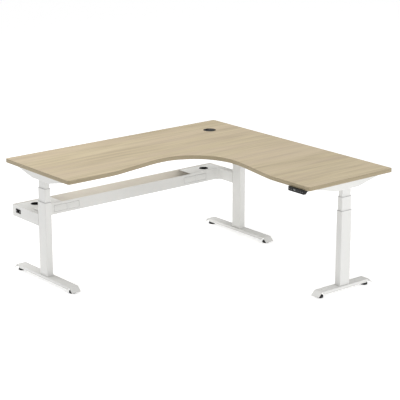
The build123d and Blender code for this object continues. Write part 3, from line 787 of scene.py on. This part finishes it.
def makeSocketCovers():
    coverLow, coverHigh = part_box("socket_covers")
    front = coverLow[1]
    level = (coverLow[2] + coverHigh[2]) / 2
    inset = beam["cover"][0] / 2 + beam["coverEdge"]
    wide, tall = socketCover["length"] / 2, socketCover["height"] / 2
    reach, up = socketCover["module"] / 2, tall - socketCover["border"]
    plates, gapShadePlates = bmesh.new(), bmesh.new()
    for x in (coverLow[0] + inset, coverHigh[0] - inset):
        near, far = (front + depth for depth in socketCover["gapShade"])
        corner = socketCover["corner"]
        addPlate(gapShadePlates, (x - wide, near, level - tall), (x + wide, far, level + tall), corner, 1)
        near, far = (front + depth for depth in socketCover["moduleFace"])
        for side in (-1, 1):
            centre = x + side * (socketCover["module"] / 2 + socketCover["gap"] / 2)
            made = addBlock(plates, (centre - reach, near, level - up), (centre + reach, far, level + up))
            roundEdges(plates, edgesAlong(made, 1), socketCover["moduleCorner"], 4)
    thin = [edge for edge in plates.edges if edge.calc_face_angle(0.0) > 1.2]
    roundEdges(plates, thin, socketCover["moduleEdge"], 2)
    # painted shade: the grey plate just behind the front shows as the dark gap line round the modules
    finishPiece(gapShadePlates, "socketGapShade", "base", "greyBush", ["socket_covers"])
    finishPiece(plates, "socketBlanks", "base", "whiteCoat")


# power inlet: metal pins and two bezel screws

inletTrim = {
    "pins": ((-0.007, -0.003), (0.0, 0.003), (0.007, -0.003)),
    "pinHalf": (0.00115, 0.00215),
    "pinLength": 0.0084,
    "pinEdge": 0.0005,
    "backWall": 0.006,
    "screwSpread": 0.020,
    "screwRadius": 0.0031,
}


def makeInletDetails():
    low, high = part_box("power_inlet")
    middle = middleOf("power_inlet")
    face = low[0]
    back = high[0] - inletTrim["backWall"]
    tip = back - inletTrim["pinLength"]
    halfY, halfZ = inletTrim["pinHalf"]
    pins = bmesh.new()
    for dy, dz in inletTrim["pins"]:
        y, z = middle.y + dy, middle.z + dz
        made = addBlock(pins, (tip, y - halfY, z - halfZ), (back, y + halfY, z + halfZ))
        roundEdges(pins, edgesAlong(made, 0), inletTrim["pinEdge"], 2)
    finishPiece(pins, "inletPins", "base", "brassPin")
    screws = bmesh.new()
    for side in (-1, 1):
        seat = (face, middle.y + side * inletTrim["screwSpread"], middle.z)
        addScrewHead(screws, seat, (-1.0, 0.0, 0.0), inletTrim["screwRadius"])
    finishPiece(screws, "inletScrews", "base", "bareSteel")


def addScrewHead(shape, seat, out, radius):
    # a raised countersunk head with a round-ended drive recess
    high = radius * 0.30
    profile = [
        (0.0, -high * 0.6), (radius * 0.28, -high * 0.6), (radius * 0.34, high * 0.85),
        (radius * 0.75, high * 0.62), (radius, high * 0.12), (radius, -high * 0.5),
    ]
    addTurned(shape, profile, seat, out, steps=20)


# hand controller: key marks, digits in the window and a bezel round it

handset = {
    "markRaise": 0.0002,
    "markSize": 0.0030,
    "stroke": 0.0006,
    "digitHeight": 0.0074,
    "digitWidth": 0.0040,
    "digitStroke": 0.0009,
    "digitRaise": 0.00015,
    "bezelWidth": 0.0012,
    "bezelProud": 0.0006,
    "bezelSunk": 0.0004,
    "bezelDepth": 0.0016,
    "bezelCorner": 0.0016,
}

segmentLines = {
    "a": ((0, 2), (1, 2)), "b": ((1, 1), (1, 2)), "c": ((1, 0), (1, 1)), "d": ((0, 0), (1, 0)),
    "e": ((0, 0), (0, 1)), "f": ((0, 1), (0, 2)), "g": ((0, 1), (1, 1)),
}
digitSegments = {"1": "bc", "2": "abged", "3": "abgcd", "5": "afgcd", "6": "afgedc", "7": "abc"}


def addDigit(shape, digit, centre, width, height, stroke, outward):
    # strokes of one digit on a face that looks along -X; reading direction runs along -Y
    for name in digitSegments[digit]:
        (x0, z0), (x1, z1) = segmentLines[name]
        ends = []
        for across, up in ((x0, z0), (x1, z1)):
            ends.append((centre[1] - (across - 0.5) * width, centre[2] + (up - 1) * height / 2))
        lowY, highY = sorted(end[0] for end in ends)
        lowZ, highZ = sorted(end[1] for end in ends)
        half = stroke / 2
        low = (centre[0] - outward, lowY - half, lowZ - half)
        made = addBlock(shape, low, (centre[0] + 0.0001, highY + half, highZ + half))
        roundEdges(shape, edgesAlong(made, 0), half * 0.6, 2)


def makeKeyMarks():
    for key in ("up", "down", "one", "two", "three", "memory"):
        node = "button_" + key
        low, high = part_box(node)
        centre = (low[0], (low[1] + high[1]) / 2, (low[2] + high[2]) / 2)
        shape = bmesh.new()
        size = handset["markSize"]
        face = Vector(centre)
        out = Vector((-handset["markRaise"], 0.0, 0.0))
        if key in ("up", "down"):
            made = addRod(shape, face + out, face - out * 0.5, size, sides=3)
            turn = 0.0 if key == "up" else math.pi
            tip = max(made, key=lambda vert: vert.co.z).co - face
            aim = math.atan2(tip.y, tip.z)
            spin = Matrix.Rotation(aim + turn, 3, "X")
            bmesh.ops.rotate(shape, verts=made, cent=face, matrix=spin)
        elif key == "memory":
            inner, raised = size * 0.55, handset["markRaise"]
            ring = [(inner, -0.0001), (size, -0.0001), (size, raised), (inner, raised)]
            addTurned(shape, ring, face, (-1.0, 0.0, 0.0), steps=28, closed=True)
        else:
            digit = {"one": "1", "two": "2", "three": "3"}[key]
            addDigit(shape, digit, centre, size, size * 1.9, handset["stroke"], handset["markRaise"])
        finishPiece(shape, "keyMark_" + key, node, "markInk")


def makeDisplay():
    low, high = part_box("display_window")
    middle = middleOf("display_window")
    digits = bmesh.new()
    wide, tall = handset["digitWidth"], handset["digitHeight"]
    stroke, raised = handset["digitStroke"], handset["digitRaise"]
    pitch = wide * 1.75
    for index, digit in enumerate("765"):
        centre = (low[0], middle.y - (index - 1) * pitch, middle.z)
        addDigit(digits, digit, centre, wide, tall, stroke, raised)
    point = middle.y - 0.5 * pitch
    base = middle.z - tall / 2
    dotCorner = (low[0] - raised, point - 0.0005, base - 0.0004)
    addBlock(digits, dotCorner, (low[0], point + 0.0005, base + 0.0006))
    finishPiece(digits, "displayDigits", "top", "litDigit")
    frameShape = bmesh.new()
    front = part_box("handset_housing")[0][0]
    edge = handset["bezelWidth"]
    lowCorner = (front - handset["bezelProud"], low[1] - edge, low[2] - edge)
    highCorner = (front + handset["bezelSunk"], high[1] + edge, high[2] + edge)
    made = addBlock(frameShape, lowCorner, highCorner)
    roundEdges(frameShape, edgesAlong(made, 0), handset["bezelCorner"], 3)
    cover = min(frameShape.faces, key=lambda face: face.calc_center_median().x)
    bmesh.ops.inset_region(frameShape, faces=[cover], thickness=edge, depth=0.0)
    inner = bmesh.ops.extrude_face_region(frameShape, geom=[cover])["geom"]
    inner = [item for item in inner if isinstance(item, bmesh.types.BMVert)]
    bmesh.ops.translate(frameShape, vec=(handset["bezelDepth"], 0.0, 0.0), verts=inner)
    gone = [face for face in frameShape.faces if len(face.verts) > 8]
    bmesh.ops.delete(frameShape, geom=gone, context="FACES")
    finishPiece(frameShape, "displayBezel", "top", "blackPlastic")


# motors: cast end caps, cooling rings and a cable gland each

motorTrim = {
    "radius": 0.021,
    "proud": 0.0008,
    "length": 0.112,
    "start": 0.030,
    "capDepth": 0.012,
    "ringCount": 4,
    "ringStart": 0.040,
    "ringPitch": 0.006,
    "glandPlace": 0.098,
}


def makeMotorTrim():
    low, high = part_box("motors")
    caps, glands = bmesh.new(), bmesh.new()
    for leg in legNames:
        hub = middleOf("outer_tube_" + leg)
        side = {"left": Vector((1, 0, 0)), "corner": Vector((-1, 0, 0)), "right": Vector((0, 1, 0))}[leg]
        level = (low[2] + high[2]) / 2
        start = Vector((hub.x, hub.y, level)) + side * motorTrim["start"]
        radius = motorTrim["radius"] + motorTrim["proud"]
        depth = motorTrim["capDepth"]
        for offset in (0.0, motorTrim["length"] - depth):
            profile = [
                (radius - 0.0015, 0.0), (radius, 0.0015), (radius, depth - 0.001), (radius - 0.001, depth),
                (radius - 0.003, depth), (radius - 0.003, 0.0),
            ]
            addTurned(caps, profile, start + side * offset, side, steps=48, closed=True)
        for ring in range(motorTrim["ringCount"]):
            place = start + side * (motorTrim["ringStart"] + ring * motorTrim["ringPitch"])
            rib = [(radius - 0.002, 0.0), (radius, 0.0006), (radius, 0.0022), (radius - 0.002, 0.0028)]
            addTurned(glands, rib, place, side, steps=48, closed=True)
        root = start + side * motorTrim["glandPlace"]
        addRod(glands, root - Vector((0, 0, 0.018)), root - Vector((0, 0, 0.030)), 0.0055, 0.0040, 20)
    finishPiece(caps, "motorCaps", "top", "castAlloy")
    finishPiece(glands, "motorGlands", "top", "motorPaint")


# control box: vent slots in its floor drawn as black slabs, painted shade for the open slots, and frames
# round its sockets

controlTrim = {
    "slots": 9,
    "slotPitch": 0.009,
    "slotLength": 0.034,
    "slotHalf": 0.0016,
    "slotCorner": 0.0015,
    "ports": 6,
    "firstPort": 0.080,
    "portPitch": 0.032,
    "portOuter": 0.0105,
    "portInner": 0.009,
    "portLevels": (0.0088, 0.010, 0.024, 0.0252),
}


def portBars():
    # the four bars of a socket's frame: from and to across, from and to upwards
    outer, inner = controlTrim["portOuter"], controlTrim["portInner"]
    bottom, sill, head, top = controlTrim["portLevels"]
    return [
        (-outer, outer, head, top),
        (-outer, outer, bottom, sill),
        (-outer, -inner, sill, head),
        (inner, outer, sill, head),
    ]


def makeControlTrim():
    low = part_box("control_box")[0]
    middle = middleOf("control_box")
    half, length = controlTrim["slotHalf"], controlTrim["slotLength"] / 2
    slots, frames = bmesh.new(), bmesh.new()
    for index in range(controlTrim["slots"]):
        x = middle.x + (index - (controlTrim["slots"] - 1) / 2) * controlTrim["slotPitch"]
        lowCorner = (x - half, middle.y - length, low[2] - 0.0003)
        highCorner = (x + half, middle.y + length, low[2] + 0.0006)
        addPlate(slots, lowCorner, highCorner, controlTrim["slotCorner"], 2, 4)
    for index in range(controlTrim["ports"]):
        x = middle.x - controlTrim["firstPort"] + index * controlTrim["portPitch"]
        for dx0, dx1, z0, z1 in portBars():
            addBlock(frames, (x + dx0, low[1] - 0.0005, low[2] + z0), (x + dx1, low[1] + 0.0010, low[2] + z1))
        for pin in range(4):
            y = low[1] + 0.0102
            px = x - 0.0045 + pin * 0.003
            addRod(frames, (px, y, low[2] + 0.0165), (px, y - 0.006, low[2] + 0.0165), 0.0005, sides=8)
    # painted shade: black slabs stand for the dark inside open vent slots
    finishPiece(slots, "controlVentShade", "top", "padRubber")
    finishPiece(frames, "portFrames", "top", "greyBush")


# weld beads where the inner columns meet the brackets

weld = {"half": (0.018, 0.038), "corner": 0.004, "bead": 0.0016, "sunk": 0.0005, "flare": 0.0022}


def makeWelds():
    shape = bmesh.new()
    hubs = {leg: middleOf("outer_tube_" + leg) for leg in legNames}
    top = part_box("brackets")[0][2]
    for leg, hub in hubs.items():
        wide, long = weld["half"] if leg != "right" else reversed(weld["half"])
        lowCorner = (hub.x - wide, hub.y - long, top - weld["bead"])
        made = addBlock(shape, lowCorner, (hub.x + wide, hub.y + long, top + weld["sunk"]))
        roundEdges(shape, edgesAlong(made, 2), weld["corner"], 5)
    lowest = min(vert.co.z for vert in shape.verts)
    upper = [vert for vert in shape.verts if vert.co.z > lowest + 0.001]
    for vert in upper:
        hub = min(hubs.values(), key=lambda place: (place.xy - vert.co.xy).length)
        away = (vert.co.xy - hub.xy).normalized()
        vert.co.x += away.x * weld["flare"]
        vert.co.y += away.y * weld["flare"]
    finishPiece(shape, "columnWelds", "top", "whiteCoat")


def makeFloor():
    shape = bmesh.new()
    bmesh.ops.create_grid(shape, x_segments=1, y_segments=1, size=studio["floorSize"] / 2)
    mesh = bpy.data.meshes.new("floor")
    shape.to_mesh(mesh)
    shape.free()
    floor = bpy.data.objects.new("floor", mesh)
    bpy.context.scene.collection.objects.link(floor)
    finish = Finish("studioFloor")
    soft = finish.noise(finish.place(), 0.7, 2.0)
    color = finish.blend(soft, tint(studio["floorColor"], 0.99), studio["floorColor"])
    finish.set(color=color, rough=0.9, specular=0.1, glow=(1.0, 1.0, 1.0), glowPower=studio["floorGlow"])
    mesh.materials.append(finish.material)


paintFrame()
for node, spec in softened.items():
    softenNode(node, **spec)
print("softened parts made")
makeEdgeBand()
makeLevelFeet()
makeJointShadeRings()
makeGrommet()
makeBeam()
makeOutlets()
makeSocketCovers()
makeInletDetails()
makeKeyMarks()
makeDisplay()
makeMotorTrim()
makeControlTrim()
makeWelds()
print("detail pieces made")
makeFloor()
makeLamps()
makeCamera()
bpy.context.scene.view_settings.view_transform = "Standard"
print("materials, floor and light made")
